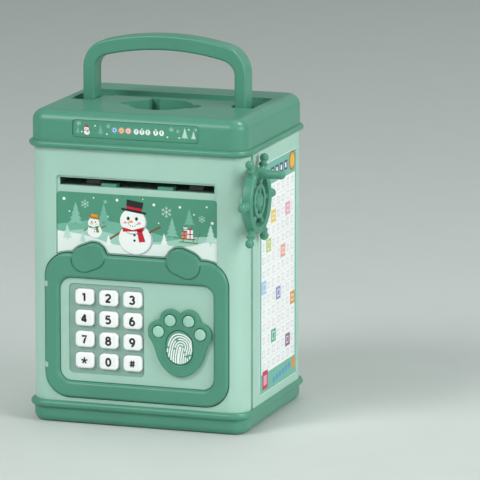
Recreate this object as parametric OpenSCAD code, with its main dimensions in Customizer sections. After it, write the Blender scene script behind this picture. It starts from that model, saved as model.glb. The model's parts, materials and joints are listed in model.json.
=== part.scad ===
// Electronic money safe: a box with a keypad door, a bill slot, a coin slot,
// a folding carry handle and a ship's-wheel knob on its right side.
// +X is the viewer's right, -Y is the front and +Z is up.
// The origin is the centre of the plinth's footprint, on the surface it stands on.

/* [Case] */
// Width over the lid's and the plinth's flanges
flange_width = 142; // [140:1:146]
// Depth over the flanges
flange_depth = 120; // [120:1:124]
// Corner radius of the flanges
flange_radius = 12; // [11:0.5:13]
// How far the flanges stand out from the side walls
side_overhang = 2; // [1.8:0.1:2.4]
// How far the flanges stand out from the front and back walls
flange_overhang = 3; // [2.8:0.1:3.2]
// Height of the top of the walls
wall_top = 169.5; // [169:0.5:172]
// Height of the lid above the walls
lid_height = 22.5; // [22:0.5:24]
// Thickness of the case walls
wall = 2.4; // [2.2:0.1:2.6]

/* [Door] */
// Width of the door
door_width = 117; // [115:0.5:117]
// Height of the door, without its ears
door_height = 88.9; // [87:0.1:89]
// Height of the door's lower edge
door_bottom = 16.5; // [16.5:0.1:17.5]
// Radius of the ends of the two ear shapes
ear_radius = 8; // [7.5:0.1:8.6]
// Gap between the door and its opening
door_gap = 0.5; // [0.4:0.1:0.7]

/* [Keys] */
// Width of a key
key_width = 11.9; // [11:0.1:12.2]
// Height of a key
key_height = 9.7; // [9:0.1:10]
// Distance between key columns
column_pitch = 15.4; // [15:0.1:15.8]
// Distance between key rows
row_pitch = 13.1; // [12.8:0.1:13.3]

/* [Handle] */
// Height of the handle's top
handle_top = 232.8; // [228:0.1:236]
// Thickness of the handle's legs, seen from the front
leg_width = 7.6; // [6:0.2:7.8]
// Depth of the handle from front to back
handle_depth = 13.4; // [11:0.2:13.4]

/* [Helm] */
// Outer radius of the wheel's rim
rim_radius = 20; // [19:0.5:20.5]
// Distance of the ball knobs from the wheel's axis
knob_distance = 27.5; // [26:0.5:28]

/* [Hidden] */
$fn = 64;
eps = 0.01;

// case
plinth_inset = 2.3;
plinth_step = 9.3;
plinth_top = 13.8;
body_width = flange_width - 2 * side_overhang;
body_depth = flange_depth - 2 * flange_overhang;
body_radius = flange_radius;
side_x = body_width / 2;
front_y = -body_depth / 2;
seam_y = -46;
panel_start_y = -42;
tongue = 3.2;
tongue_gap = 1;
inner_x = side_x - wall;
lid_top = wall_top + lid_height;
plate_under = lid_top - 5.2;
lid_flange = 4;
lid_fillet = 7;

// bottom of the case
tray_floor = 2;
cash_floor_z = 18.6;
cash_floor_thickness = 1.6;
screw_x = 60.4;
screw_front_y = -35;
screw_back_y = 44;
screw_radius = 1.4;
screw_head_radius = 2.8;
boss_radius = 5.4;

// batteries: three cells side by side along X
cell_radius = 7.1;
cell_length = 50.4;
cell_pitch = 15.2;
battery_y = 19;
battery_roof = 17.2;
battery_half_x = 29;
battery_half_y = 24;
cover_z = 0.6;
cover_thickness = 1.6;

// speaker, board and switch
speaker_x = 40;
speaker_y = -22;
speaker_radius = 17;
board_x = -34;
board_y = -28;
switch_x = -45;
switch_y = 26;

// lid top
dish_depth = 2.8;
dish_half_x = 58;
dish_front_y = 7;
dish_back_y = 28;
dish_radius = 7;
pivot_z = 185.8;
leg_x = 48.7;
grip_thickness = 9.2;
pocket_x = 51.3;
pocket_half = 7.4;
pocket_front_y = -12;
pocket_back_y = 27;
pocket_floor = 178.6;
pocket_wall = 1.6;
pin_radius = 2;
running_gap = 0.06;

// coin funnel
funnel_x = 1.5;
funnel_y = -16;
funnel_radius = 19.5;
funnel_floor = 183.5;
funnel_wall = 1.6;
funnel_thickness = 1.8;
lobe_radius = 7;
lobe_x = 18.5;
coin_slot_x = -8.6;
coin_slot_y = -9.5;
coin_slot_width = 5.6;
coin_slot_length = 29;
chute_bottom = 171;

// front: recess, sticker and bill slot
recess_half_x = 51.3;
recess_bottom = 100;
recess_top = 153;
recess_depth = 1.2;
sticker_top = 142.9;
sticker_thickness = 0.25;
slot_half_x = 49.3;
slot_bottom = 146.9;
slot_top = 151.6;
label_half_x = 40.5;
label_bottom = 176.7;
label_top = 187.6;
label_recess_y = -56.5;

// bill feeder
guide_x = 18;
guide_half = 4.7;
guide_top = 149;
cradle_top = 146.4;
shaft_y = -38;
shaft_z = 156;
shaft_radius = 1.5;
tyre_radius = 6.4;
tyre_x = [-33, 33];
tyre_width = 9;
idler_z = 143.2;
idler_radius = 5.4;
cheek_x = 52.5;
cheek_thickness = 2;
gear_module = 0.8;
drive_teeth = 24;
pinion_teeth = 10;
gear_width = 3;
gear_x = -cheek_x - cheek_thickness - 0.6;
mesh_distance = gear_module * (drive_teeth + pinion_teeth) / 2 + 0.15;
mesh_angle = 15;
motor_y = shaft_y + mesh_distance * cos(mesh_angle);
motor_z = shaft_z + mesh_distance * sin(mesh_angle);
motor_radius = 6.4;

// door
door_center_z = door_bottom + door_height / 2;
door_corner = 15;
door_front_y = -59;
door_back_y = -53.5;
ear_x = 30.3;
ear_z = 103.3;
ear_lean = -68;
ear_stretch = 3.1;
ear_relief = 0.7;
hinge_x = -57.1;
hinge_y = -57.5;
hinge_sweep = 1.7;
hinge_pin_radius = 0.7;
hinge_pin_length = 12;
knuckle_radius = 1.3;
knuckle_length = 3.4;
knuckle_rise = 25;
panel_half_x = 49;
panel_bottom = 26.8;
panel_top = 90.2;
panel_corner = 7;
panel_front_y = -56.6;
panel_back_y = -54.6;
tray_left = -43.5;
tray_right = 4.7;
tray_bottom = 31.5;
tray_top = 87;
tray_depth = 0.6;
tub_back_y = -47.6;
tub_wall = 1.6;

// keys, with the middle column's and the top row's centres
key_column_x = -17.7;
key_row_z = 79.2;
key_front_y = -58.6;
key_corner = 2.5;
key_gap = 0.25;
key_flange_y = -54.3;
key_flange_back_y = -53.4;
key_flange = 0.7;
mat_y = -51.9;
mat_thickness = 0.9;
board_thickness = 1.6;

// paw
paw_x = 28.2;
paw_z = 51;
palm_radius = 15.6;
chin_radius = 12.5;
chin_drop = 17.2;
toe_radius = 7;
toes = [[-13.6, 10.2], [-6.1, 17.4], [5.7, 17.6], [13, 9.9]];
toe_light_radius = 3.5;
paw_front_y = -59.4;
pad_front_y = -58.8;
pad_radius = 8.5;
pad_rise = 2;

// latch
latch_z = 61;
strike_x = 50;
bolt_tip_x = 53.4;
bolt_y = -44.8;
housing_x = 56;
housing_end_x = inner_x - tongue;

// helm
helm_y = -48.4;
helm_z = 143;
helm_back_x = 70.5;
rim_width = 6.2;
rim_thickness = 4.4;
knob_x = 73.6;
boss_outer_x = 69.9;
helm_boss_radius = 5.5;
helm_shaft_radius = 3;
peg_angle = 102;
peg_distance = 17.4;
peg_length = 15.5;

// ---- shared shapes ----

module rounded_square(w, d, r) {
  square([w - 2 * r, d], center = true);
  square([w, d - 2 * r], center = true);
  for (sx = [-1, 1], sy = [-1, 1])
    translate([sx * (w / 2 - r), sy * (d / 2 - r)]) circle(r);
}

module rounded_plate(w, d, r, z0, z1) {
  translate([0, 0, z0]) linear_extrude(z1 - z0) rounded_square(w, d, r);
}

// a block whose lower and upper corners are given
module block(low, high) {
  translate(low) cube(high - low);
}

// a 2D outline in X and Z, given depth from y0 (front) to y1 (back)
module facing(y0, y1) {
  translate([0, y1, 0]) rotate([90, 0, 0]) linear_extrude(y1 - y0) children();
}

// a cylinder along X, from x0 to x1
module rod_x(x0, x1, y, z, r) {
  translate([x0, y, z]) rotate([0, 90, 0]) cylinder(h = x1 - x0, r = r);
}

// a cylinder along Y, from y0 to y1
module rod_y(y0, y1, x, z, r) {
  translate([x, y1, z]) rotate([90, 0, 0]) cylinder(h = y1 - y0, r = r);
}

// A rounded rectangle whose edge follows the 2D profile given as the child.
// The profile's x runs from 0 (corner centre) to r (outermost), its y is height.
module profiled_plate(w, d, r, z0, z1) {
  block([-w / 2 + r, -d / 2 + r, z0], [w / 2 - r, d / 2 - r, z1]);
  for (turn = [0, 180]) rotate([0, 0, turn]) {
    translate([w / 2 - r, -d / 2 + r, 0]) rotate([90, 0, 180])
      mirror([1, 0, 0]) linear_extrude(d - 2 * r) children();
    translate([w / 2 - r, d / 2 - r, 0]) rotate([90, 0, 90])
      translate([0, 0, -(w - 2 * r)]) linear_extrude(w - 2 * r) children();
  }
  for (sx = [-1, 1], sy = [-1, 1])
    translate([sx * (w / 2 - r), sy * (d / 2 - r), 0])
      rotate([0, 0, sx > 0 ? (sy > 0 ? 0 : 270) : (sy > 0 ? 90 : 180)])
        rotate_extrude(angle = 90) children();
}

// A gear outline with straight-flanked teeth
module gear_outline(teeth) {
  pitch_radius = gear_module * teeth / 2;
  tooth = gear_module * 1.25;
  circle(pitch_radius - tooth * 0.85);
  for (i = [0 : teeth - 1]) rotate(i * 360 / teeth)
    translate([pitch_radius - tooth, 0])
      polygon([
        [-tooth * 0.3, -gear_module * 0.9], [tooth, -gear_module * 0.62],
        [tooth * 1.75, -gear_module * 0.3], [tooth * 1.75, gear_module * 0.3],
        [tooth, gear_module * 0.62], [-tooth * 0.3, gear_module * 0.9]
      ]);
}

// ---- plinth ----

module plinth_profile() {
  edge = flange_radius - plinth_inset;
  foot = 4.5;
  square([edge - foot, foot]);
  translate([edge - foot, foot]) intersection() {
    circle(foot);
    translate([0, -foot]) square(foot);
  }
  translate([0, foot]) square([edge, plinth_step - foot]);
  flange_profile(plinth_step, plinth_top);
}

// the flange's edge: straight above and below, with a half-round rim
module flange_profile(z0, z1) {
  r = (z1 - z0) / 2;
  translate([0, z0]) square([flange_radius - r, z1 - z0]);
  translate([flange_radius - r, z0 + r]) circle(r);
}

module base_tray() color([0.29, 0.56, 0.46]) {
  difference() {
    union() {
      difference() {
        profiled_plate(flange_width, flange_depth, flange_radius, 0, plinth_top) plinth_profile();
        rounded_plate(body_width - 4, body_depth - 4, 8, tray_floor, plinth_top + 1);
      }
      block([-battery_half_x, battery_y - battery_half_y, tray_floor - eps],
            [battery_half_x, battery_y + battery_half_y, battery_roof + 1.2]);
      for (sx = [-1, 1], y = [screw_front_y, screw_back_y])
        translate([sx * screw_x, y, tray_floor - eps]) cylinder(h = plinth_top - tray_floor, r = 4.6);
      difference() {
        translate([speaker_x, speaker_y, tray_floor - eps]) cylinder(h = 3, r = speaker_radius + 1.6);
        translate([speaker_x, speaker_y, tray_floor]) cylinder(h = 4, r = speaker_radius);
      }
      block([switch_x - 7.6, switch_y - 4, tray_floor - eps], [switch_x + 7.6, switch_y + 4, 6]);
      for (x = [-16, 16], y = [-14, 14]) translate([board_x + x, board_y + y, tray_floor - eps])
        cylinder(h = 4, r = 2.2);
    }
    block([-battery_half_x + 1.4, battery_y - battery_half_y + 1.4, -1],
          [battery_half_x - 1.4, battery_y + battery_half_y - 1.4, battery_roof]);
    for (sx = [-1, 1], y = [screw_front_y, screw_back_y]) translate([sx * screw_x, y, -1]) {
      cylinder(h = 20, r = screw_radius);
      cylinder(h = 3.2, r = screw_head_radius + 0.4);
    }
    for (ring = [[1, 0], [6, 6], [12, 11]], i = [0 : ring[0] - 1])
      translate([speaker_x, speaker_y, -1]) rotate(i * 360 / ring[0])
        translate([ring[1], 0, 0]) cylinder(h = 4, r = 1.2, $fn = 24);
    block([switch_x - 6.2, switch_y - 2.6, -1], [switch_x + 6.2, switch_y + 2.6, 4.4]);
  }
}

module battery_cover() color([0.29, 0.56, 0.46]) {
  difference() {
    block([-battery_half_x + 1.4, battery_y - battery_half_y + 1.4, cover_z],
          [battery_half_x - 1.4, battery_y + battery_half_y - 1.4, cover_z + cover_thickness]);
    for (i = [-2 : 2]) translate([0, battery_y + 14 + i * 2.2, cover_z - eps])
      block([-8, -0.5, 0], [8, 0.5, 0.5]);
  }
}

module battery_cells() color([0.2, 0.22, 0.25]) {
  for (i = [-1, 0, 1]) {
    side = i == 0 ? -1 : 1;
    y = battery_y + i * cell_pitch;
    z = cover_z + cover_thickness + cell_radius + 0.2;
    rod_x(-cell_length / 2 + (side < 0 ? 1.4 : 0), cell_length / 2 - (side > 0 ? 1.4 : 0),
          y, z, cell_radius);
    rod_x(side > 0 ? cell_length / 2 - 1.4 - eps : -cell_length / 2,
          side > 0 ? cell_length / 2 : -cell_length / 2 + 1.4 + eps, y, z, 2.8);
  }
}

module battery_contacts() color([0.75, 0.76, 0.78]) {
  for (sx = [-1, 1], i = [-1, 0, 1])
    translate([sx * (battery_half_x - 1.9), battery_y + i * cell_pitch, 9.7])
      block([-0.4, -5.5, -5.5], [0.4, 5.5, 5.5]);
}

module power_switch() color([0.12, 0.12, 0.13]) {
  block([switch_x - 4.2, switch_y - 2.2, 0.7], [switch_x + 0.2, switch_y + 2.2, 3.9]);
  for (i = [0 : 2]) translate([switch_x - 3.2 + i * 1.2, switch_y, 0.7])
    block([-0.3, -1.8, -0.35], [0.3, 1.8, eps]);
}

module speaker() color([0.15, 0.15, 0.16]) {
  translate([speaker_x, speaker_y, tray_floor]) {
    cylinder(h = 1.4, r = speaker_radius - 0.2);
    translate([0, 0, 1.4]) cylinder(h = 3.4, r1 = speaker_radius - 1.5, r2 = 9);
    translate([0, 0, 4.8]) cylinder(h = 4.6, r = 9);
  }
}

module main_board() color([0.1, 0.35, 0.2]) {
  block([board_x - 20, board_y - 18, 6], [board_x + 20, board_y + 18, 7.6]);
  block([board_x - 6, board_y - 6, 7.6], [board_x + 6, board_y + 6, 9.4]);
  block([board_x + 10, board_y - 14, 7.6], [board_x + 16, board_y - 4, 12]);
  for (i = [0 : 3]) translate([board_x - 14, board_y - 12 + i * 6, 7.6]) cylinder(h = 5, r = 2.2);
}

module cash_floor() color([0.62, 0.82, 0.76]) {
  difference() {
    rounded_plate(2 * inner_x - 0.6, body_depth - 2 * wall - 0.6, 9,
                  cash_floor_z, cash_floor_z + cash_floor_thickness);
    for (sx = [-1, 1], y = [screw_front_y, screw_back_y])
      translate([sx * screw_x, y, cash_floor_z - 1]) cylinder(h = 4, r = boss_radius + 0.4);
    block([-side_x, front_y, cash_floor_z - 1], [side_x, door_back_y + 0.6, cash_floor_z + 3]);
    for (sx = [-1, 1])
      block([sx * 61 - 7, -56, cash_floor_z - 1], [sx * 61 + 7, -38, cash_floor_z + 3]);
  }
}

module case_screws() color([0.7, 0.71, 0.72]) {
  for (sx = [-1, 1], y = [screw_front_y, screw_back_y]) translate([sx * screw_x, y, 0]) {
    difference() {
      translate([0, 0, 0.4]) cylinder(h = 1.8, r = screw_head_radius);
      block([-1.8, -0.3, 0], [1.8, 0.3, 1.2]);
      block([-0.3, -1.8, 0], [0.3, 1.8, 1.2]);
    }
    translate([0, 0, 2.2]) cylinder(h = 20, r = screw_radius);
  }
}

// ---- walls ----

module case_ring(z0, z1, grow, thickness) {
  difference() {
    rounded_plate(body_width + 2 * grow, body_depth + 2 * grow, body_radius + grow, z0, z1);
    rounded_plate(body_width + 2 * grow - 2 * thickness, body_depth + 2 * grow - 2 * thickness,
                  body_radius + grow - thickness, z0 - 1, z1 + 1);
  }
}

module rear_case() color([0.62, 0.82, 0.76]) {
  difference() {
    union() {
      intersection() {
        case_ring(plinth_top, wall_top, 0, wall);
        block([-100, panel_start_y, 0], [100, 100, 300]);
      }
      for (sx = [-1, 1]) scale([sx, 1, 1]) {
        block([inner_x - tongue, seam_y - 3, plinth_top], [inner_x - tongue_gap, seam_y + eps, wall_top]);
        block([inner_x - tongue, seam_y, plinth_top], [inner_x + eps, panel_start_y + 6, wall_top]);
        translate([0, 0, plinth_top]) for (y = [screw_front_y, screw_back_y])
          translate([screw_x, y, 0]) cylinder(h = 16, r = boss_radius);
      }
      rod_x(inner_x - tongue, boss_outer_x, helm_y, helm_z, helm_boss_radius);
    }
    for (sx = [-1, 1], y = [screw_front_y, screw_back_y])
      translate([sx * screw_x, y, plinth_top - 1]) cylinder(h = 12, r = screw_radius);
    rod_x(inner_x - 6, boss_outer_x + 1, helm_y, helm_z, helm_shaft_radius + running_gap);
    for (i = [-4 : 4]) block([-0.9 + i * 5, 50, 30], [0.9 + i * 5, 60, 48]);
  }
}

module door_outline(grow) {
  translate([0, door_center_z])
    rounded_square(door_width + 2 * grow, door_height + 2 * grow, door_corner + grow);
  ears(grow);
}

// two egg-like shapes, leaning towards each other
module ears(grow) {
  for (sx = [-1, 1]) translate([sx * ear_x, ear_z]) rotate(sx * -ear_lean) {
    square([2 * (ear_radius + grow), 2 * ear_stretch], center = true);
    for (end = [-1, 1]) translate([0, end * ear_stretch]) circle(ear_radius + grow);
  }
}

// the frame's hinge knuckles, each a short tube on a web
module knuckles() {
  for (side = [-1, 1]) translate([hinge_x, hinge_y, door_center_z + side * knuckle_rise]) difference() {
    union() {
      translate([0, 0, -knuckle_length / 2]) cylinder(h = knuckle_length, r = knuckle_radius);
      translate([-2.5, front_y - hinge_y, -knuckle_length / 2]) cube([2.5, 1.6, knuckle_length]);
    }
    translate([0, 0, -knuckle_length]) cylinder(h = 2 * knuckle_length, r = hinge_pin_radius);
  }
}

module front_frame() color([0.64, 0.84, 0.78]) {
  knuckles();
  difference() {
    intersection() {
      case_ring(plinth_top, wall_top, 0, wall);
      block([-100, -100, 0], [100, seam_y, 300]);
    }
    facing(-60, -50) door_outline(door_gap);
    facing(front_y - 1, front_y + recess_depth)
      translate([0, (recess_bottom + recess_top) / 2])
        rounded_square(2 * recess_half_x, recess_top - recess_bottom, 2.5);
    block([-slot_half_x, -60, slot_bottom], [slot_half_x, -50, slot_top]);
    rod_x(inner_x - 8, side_x + 4, helm_y, helm_z, helm_boss_radius);
  }
}

module front_sticker() color([0.3, 0.6, 0.5]) {
  floor_y = front_y + recess_depth;
  difference() {
    facing(floor_y - sticker_thickness, floor_y)
      translate([0, (recess_bottom + sticker_top) / 2])
        rounded_square(2 * recess_half_x - 0.2, sticker_top - recess_bottom - 0.2, 2.4);
    facing(floor_y - 2, floor_y + 1) door_outline(door_gap + 0.6);
  }
}

module side_label(sx) {
  scale([sx, 1, 1]) translate([side_x, 5.5, 89.5]) rotate([90, 0, 90])
    linear_extrude(0.2) rounded_square(71, 141, 2);
}

module side_label_right() color([0.93, 0.95, 0.94]) side_label(1);

module side_label_left() color([0.93, 0.95, 0.94]) side_label(-1);

// ---- lid ----

module lid_profile() {
  edge = flange_radius - plinth_inset;
  flange_profile(wall_top, wall_top + lid_flange);
  translate([0, wall_top]) square([edge, lid_height - lid_fillet]);
  translate([0, lid_top - lid_fillet]) square([edge - lid_fillet, lid_fillet]);
  translate([edge - lid_fillet, lid_top - lid_fillet]) intersection() {
    circle(lid_fillet);
    square(lid_fillet);
  }
}

module funnel_outline(grow) {
  translate([funnel_x, funnel_y]) circle(funnel_radius + grow);
  for (sx = [-1, 1]) translate([funnel_x + sx * lobe_x, funnel_y]) circle(lobe_radius + grow);
}

module lid() color([0.29, 0.56, 0.46]) {
  difference() {
    union() {
      difference() {
        profiled_plate(flange_width, flange_depth, flange_radius, wall_top, lid_top) lid_profile();
        rounded_plate(body_width - 3.4, body_depth - 3.4, 8,
                      wall_top + lid_flange, plate_under);
        rounded_plate(2 * inner_x - 4, body_depth - 2 * wall - 4, 8,
                      wall_top - 1, wall_top + lid_flange + 1);
      }
      for (sx = [-1, 1])
        block([sx * pocket_x - pocket_half - pocket_wall, pocket_front_y - pocket_wall,
               pocket_floor - pocket_wall],
              [sx * pocket_x + pocket_half + pocket_wall, pocket_back_y + pocket_wall,
               lid_top - dish_depth - 1]);
      difference() {
        rounded_plate(2 * inner_x - 0.4, body_depth - 2 * wall - 0.4, 9.4,
                      wall_top - 4, wall_top + 1);
        rounded_plate(2 * inner_x - 4, body_depth - 2 * wall - 4, 8, wall_top - 5, wall_top + 2);
        block([-100, -100, 0], [100, panel_start_y + 7, wall_top]);
      }
    }
    translate([0, (dish_front_y + dish_back_y) / 2, 0])
      rounded_plate(2 * dish_half_x, dish_back_y - dish_front_y, dish_radius,
                    lid_top - dish_depth, lid_top + 1);
    for (sx = [-1, 1]) {
      block([sx * pocket_x - pocket_half, pocket_front_y, pocket_floor],
            [sx * pocket_x + pocket_half, pocket_back_y, lid_top + 1]);
      rod_x(sx * pocket_x - 9, sx * pocket_x + 9, 0, pivot_z, pin_radius);
    }
    translate([0, 0, lid_top - 8]) linear_extrude(20) funnel_outline(0);
    block([coin_slot_x - coin_slot_width / 2, coin_slot_y, lid_top - 8],
          [coin_slot_x + coin_slot_width / 2, coin_slot_y + coin_slot_length / 2, lid_top + 1]);
    facing(-70, label_recess_y) translate([0, (label_bottom + label_top) / 2])
      rounded_square(2 * label_half_x, label_top - label_bottom, 2.6);
  }
}

module lid_label() color([0.4, 0.68, 0.58]) {
  facing(label_recess_y - sticker_thickness, label_recess_y)
    translate([0, (label_bottom + label_top) / 2])
      rounded_square(2 * label_half_x - 0.3, label_top - label_bottom - 0.3, 2.5);
}

module coin_funnel() color([0.25, 0.5, 0.41]) {
  half_x = coin_slot_width / 2;
  half_y = coin_slot_length / 2;
  difference() {
    union() {
      translate([0, 0, funnel_floor - funnel_thickness])
        linear_extrude(plate_under - funnel_floor + funnel_thickness) funnel_outline(funnel_wall);
      block([coin_slot_x - half_x - funnel_wall, coin_slot_y - half_y - funnel_wall, chute_bottom],
            [coin_slot_x + half_x + funnel_wall, coin_slot_y + half_y + funnel_wall, plate_under]);
    }
    translate([0, 0, funnel_floor]) linear_extrude(20) funnel_outline(0);
    block([coin_slot_x - half_x, coin_slot_y - half_y, chute_bottom - 1],
          [coin_slot_x + half_x, coin_slot_y + half_y, plate_under + 1]);
  }
}

// ---- handle ----

module handle_outline(top, half_x, corner, crown) {
  shoulder = top - 2.8;
  intersection() {
    union() {
      translate([-half_x, pivot_z - 20]) square([2 * half_x, shoulder - corner - pivot_z + 20]);
      translate([-half_x + corner, pivot_z - 20]) square([2 * (half_x - corner), top + 1 - pivot_z + 20]);
      for (sx = [-1, 1]) translate([sx * (half_x - corner), shoulder - corner]) circle(corner);
    }
    union() {
      translate([0, top - crown]) circle(crown, $fn = 256);
      translate([-100, pivot_z - 30]) square([200, 30 + shoulder - corner - pivot_z]);
    }
  }
}

module handle() color([0.31, 0.6, 0.49]) {
  half = handle_depth / 2;
  difference() {
    intersection() {
      facing(-half, half) difference() {
        handle_outline(handle_top, leg_x + leg_width / 2, 16, 185);
        handle_outline(handle_top - grip_thickness, leg_x - leg_width / 2, 12, 130);
      }
      union() {
        block([-100, -half, pivot_z], [100, half, 300]);
        rod_x(-100, 100, 0, pivot_z, half);
      }
    }
    rod_x(-100, 100, 0, pivot_z, pin_radius + running_gap);
  }
}

module handle_pins() color([0.75, 0.76, 0.78]) {
  for (sx = [-1, 1])
    rod_x(sx * pocket_x - 9, sx * pocket_x + 9, 0, pivot_z, pin_radius);
}

// ---- bill feeder ----

module bill_guide() color([0.29, 0.56, 0.46]) {
  for (sx = [-1, 1]) {
    block([sx * guide_x - guide_half, front_y + wall, cradle_top],
          [sx * guide_x + guide_half, -49, guide_top]);
    block([sx * guide_x - guide_half, front_y + recess_depth + 0.2, slot_bottom],
          [sx * guide_x + guide_half, front_y + wall + eps, guide_top]);
  }
}

module bill_cradle() color([0.2, 0.22, 0.23]) {
  difference() {
    union() {
      difference() {
        block([-cheek_x, front_y + wall, cradle_top - 1.7], [cheek_x, -26, cradle_top]);
        for (x = tyre_x) block([x - 6, shaft_y - 6.5, 143], [x + 6, shaft_y + 6.5, cradle_top + 1]);
      }
      for (sx = [-1, 1]) scale([sx, 1, 1])
        block([cheek_x - eps, -46, 138], [cheek_x + cheek_thickness, -17, 166]);
    }
    rod_x(-60, 60, shaft_y, shaft_z, shaft_radius + running_gap);
    rod_x(-60, 60, shaft_y, idler_z, shaft_radius + running_gap);
    rod_x(-60, -40, motor_y, motor_z, 1.6);
  }
}

module drive_shaft() color([0.75, 0.76, 0.78]) {
  rod_x(gear_x - gear_width - 1, cheek_x + cheek_thickness + 1, shaft_y, shaft_z, shaft_radius);
}

module drive_gear() color([0.93, 0.93, 0.9]) {
  difference() {
    translate([gear_x, shaft_y, shaft_z]) rotate([0, -90, 0]) rotate([0, 0, 90])
      linear_extrude(gear_width) gear_outline(drive_teeth);
    rod_x(gear_x - 10, gear_x + 10, shaft_y, shaft_z, shaft_radius);
  }
}

module drive_tyres() color([0.1, 0.1, 0.1]) {
  for (x = tyre_x) difference() {
    rod_x(x - tyre_width / 2, x + tyre_width / 2, shaft_y, shaft_z, tyre_radius);
    rod_x(x - 10, x + 10, shaft_y, shaft_z, shaft_radius);
  }
}

module idler_rollers() color([0.85, 0.86, 0.86]) {
  rod_x(-cheek_x - cheek_thickness - 0.6, cheek_x + cheek_thickness + 0.6, shaft_y, idler_z, shaft_radius);
  for (x = tyre_x) rod_x(x - tyre_width / 2, x + tyre_width / 2, shaft_y, idler_z, idler_radius);
}

module feed_motor() color([0.7, 0.71, 0.72]) {
  rod_x(-cheek_x + 1, -cheek_x + 17, motor_y, motor_z, motor_radius);
  rod_x(-cheek_x - eps, -cheek_x + 1 + eps, motor_y, motor_z, 4);
  rod_x(-cheek_x + 17 - eps, -cheek_x + 19, motor_y, motor_z, 2.5);
}

module motor_pinion() color([0.93, 0.93, 0.9]) {
  translate([gear_x, motor_y, motor_z]) rotate([0, -90, 0]) rotate([0, 0, 90])
    linear_extrude(gear_width)
      rotate(-mesh_angle - 180 - 180 / pinion_teeth) gear_outline(pinion_teeth);
  rod_x(gear_x - eps, -cheek_x - 0.3, motor_y, motor_z, 1);
}

// ---- helm wheel ----

module helm_wheel() color([0.3, 0.58, 0.48]) {
  translate([0, helm_y, helm_z]) rotate([0, 90, 0]) {
    difference() {
      translate([0, 0, helm_back_x]) cylinder(h = rim_width, r = rim_radius);
      translate([0, 0, helm_back_x - 1]) cylinder(h = rim_width + 2, r = rim_radius - rim_thickness);
    }
    difference() {
      translate([0, 0, helm_back_x + 0.9]) cylinder(h = 4.4, r = 10.4);
      translate([0, 0, helm_back_x]) cylinder(h = 8, r = 7.8);
    }
    translate([0, 0, helm_back_x + 0.6]) cylinder(h = 5.6, r = 5.2);
    translate([0, 0, boss_outer_x - 10]) cylinder(h = 13, r = helm_shaft_radius);
    for (i = [0 : 5]) rotate([0, 0, i * 60 + 90]) {
      translate([4, -1.5, helm_back_x + 1.5]) cube([rim_radius - rim_thickness - 3, 3, 3.2]);
      translate([rim_radius - 0.6, 0, knob_x]) rotate([0, 90, 0])
        cylinder(h = knob_distance - rim_radius, r = 2);
      translate([rim_radius + 2.4, 0, knob_x]) rotate([0, 90, 0]) cylinder(h = 1.6, r = 2.8);
      translate([knob_distance, 0, knob_x]) sphere(r = 2.7);
    }
  }
}

module crank_peg() color([0.3, 0.58, 0.48]) {
  translate([helm_back_x + rim_width, helm_y + peg_distance * cos(peg_angle),
             helm_z + peg_distance * sin(peg_angle)]) rotate([0, 90, 0]) {
    cylinder(h = peg_length - 2.6, r1 = 3.2, r2 = 2.7);
    translate([0, 0, peg_length - 2.6]) sphere(r = 2.7);
  }
}

module helm_clip() color([0.75, 0.76, 0.78]) {
  difference() {
    rod_x(housing_end_x - 2, housing_end_x - 0.4, helm_y, helm_z, 5.5);
    rod_x(housing_end_x - 5, housing_end_x + 1, helm_y, helm_z, helm_shaft_radius);
  }
}

// ---- door ----

module door_slab(y0, y1) {
  intersection() {
    facing(y0, y1) door_outline(0);
    union() {
      block([hinge_x, -80, 0], [100, 0, 200]);
      block([-100, hinge_y, 0], [100, 0, 200]);
      translate([hinge_x, hinge_y, door_center_z - door_height / 2 + door_corner])
        cylinder(h = door_height - 2 * door_corner, r = hinge_sweep);
    }
  }
}

module panel_outline(grow) {
  translate([0, (panel_bottom + panel_top) / 2])
    rounded_square(2 * (panel_half_x + grow), panel_top - panel_bottom + 2 * grow, panel_corner + grow);
}

module door_frame() color([0.29, 0.56, 0.46]) {
  difference() {
    union() {
      door_slab(door_front_y, door_back_y);
      facing(door_front_y - ear_relief, door_back_y) ears(-0.8);
    }
    facing(-70, -40) panel_outline(0);
    for (side = [-1, 1]) translate([hinge_x, hinge_y, door_center_z + side * knuckle_rise]) {
      translate([0, 0, -hinge_pin_length / 2 - 0.5])
        cylinder(h = hinge_pin_length + 1, r = hinge_pin_radius + running_gap);
      translate([0, 0, -knuckle_length / 2 - 0.2])
        cylinder(h = knuckle_length + 0.5, r = knuckle_radius + 0.3);
      translate([-5, -5, -knuckle_length / 2 - 0.25]) cube([6, 15, knuckle_length + 0.5]);
    }
  }
}

module key_positions(column, row) {
  translate([key_column_x + (column - 1) * column_pitch, 0, key_row_z - row * row_pitch]) children();
}

module key_outline(grow) {
  rounded_square(key_width + 2 * grow, key_height + 2 * grow, key_corner);
}

module paw_outline() {
  translate([paw_x, paw_z]) {
    circle(palm_radius);
    translate([0, chin_radius - chin_drop]) circle(chin_radius);
    polygon([[-19.9, 7.1], [-11.2, -10.3], [11.2, -10.3], [19.3, 6.8]]);
    for (toe = toes) translate(toe) circle(toe_radius);
  }
}

module pad_outline(grow) {
  translate([paw_x - 0.3, paw_z + 0.9]) {
    for (rise = [-pad_rise, pad_rise]) translate([0, rise]) circle(pad_radius + grow);
    square([2 * (pad_radius + grow), 2 * pad_rise], center = true);
  }
}

module door_panel() color([0.66, 0.85, 0.79]) {
  difference() {
    facing(panel_front_y, panel_back_y) panel_outline(0);
    facing(panel_front_y - 1, panel_front_y + tray_depth)
      translate([(tray_left + tray_right) / 2, (tray_bottom + tray_top) / 2])
        rounded_square(tray_right - tray_left, tray_top - tray_bottom, 3);
    for (column = [0 : 2], row = [0 : 3]) key_positions(column, row)
      facing(-60, -50) key_outline(key_gap);
    facing(-60, -50) pad_outline(key_gap);
  }
}

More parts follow.
